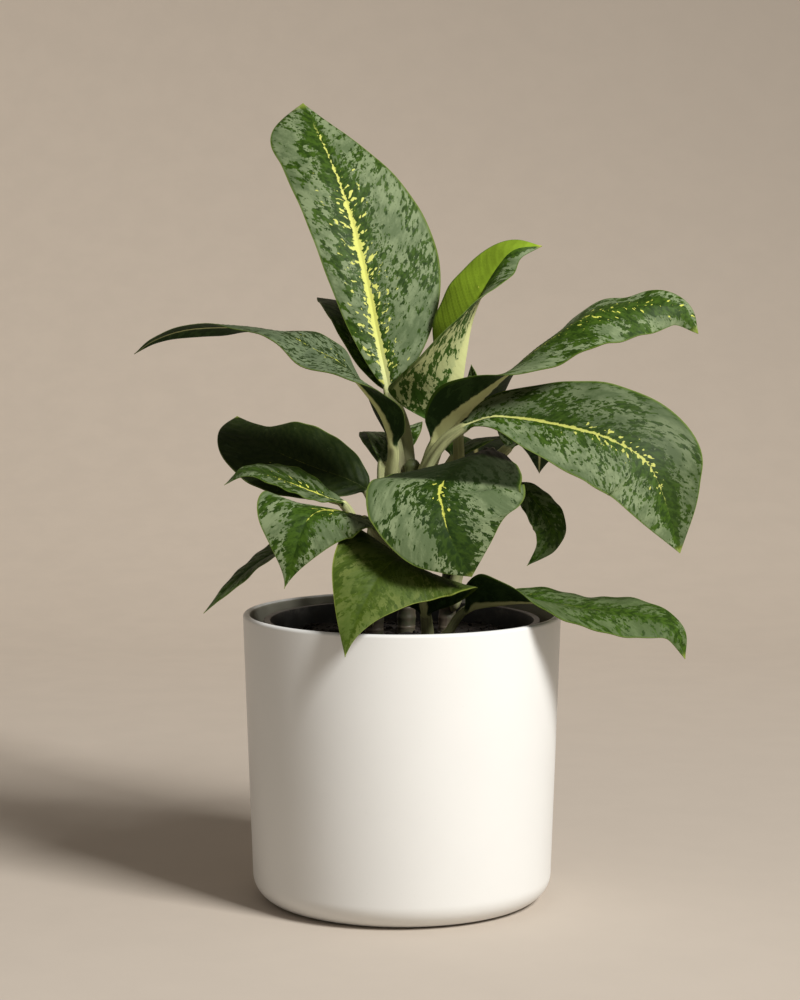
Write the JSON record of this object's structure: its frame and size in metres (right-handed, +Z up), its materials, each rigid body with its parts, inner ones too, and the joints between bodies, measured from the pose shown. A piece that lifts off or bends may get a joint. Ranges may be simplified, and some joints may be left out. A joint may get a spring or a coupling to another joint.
{
  "type": "potted plant",
  "caption": "Chinese evergreen with silver-mottled leaves on short canes, rooted in a nursery pot inside a plain white ceramic cover pot.",
  "frame": {"origin": "centre of the ceramic pot's underside, on the surface that it stands on", "axes": "+Z up, -Y towards the plant's front, +X to the plant's right as seen from the front"},
  "size_m": [0.2637, 0.1858, 0.3793],
  "materials": {
    "white_ceramic": "satin off-white glaze",
    "dark_plastic": "matt dark plastic",
    "potting_soil": "moist crumbly soil",
    "cane_skin": "green-tan stem skin",
    "silver_leaf": "waxy leaf, dark green with silver patches and a cream midrib"
  },
  "bodies": {
    "root": {"pot": "white_ceramic", "nursery_pot": "dark_plastic", "soil": "potting_soil", "cane_main": "cane_skin", "cane_left": "cane_skin", "cane_right": "cane_skin", "leaf_crown": "silver_leaf", "leaf_upper_right": "silver_leaf", "leaf_upper_left": "silver_leaf", "leaf_behind_crown": "silver_leaf", "leaf_back_left": "silver_leaf", "leaf_upper_right_long": "silver_leaf", "leaf_right_broad": "silver_leaf", "leaf_centre_front": "silver_leaf", "leaf_lower_left": "silver_leaf", "leaf_left_middle": "silver_leaf", "leaf_left_broad": "silver_leaf", "leaf_low_left": "silver_leaf", "leaf_front": "silver_leaf", "leaf_right_low": "silver_leaf", "leaf_dark_middle": "silver_leaf", "leaf_right_drooping": "silver_leaf", "leaf_young": "silver_leaf", "leaf_back_right": "silver_leaf"}
  },
  "joints": []
}
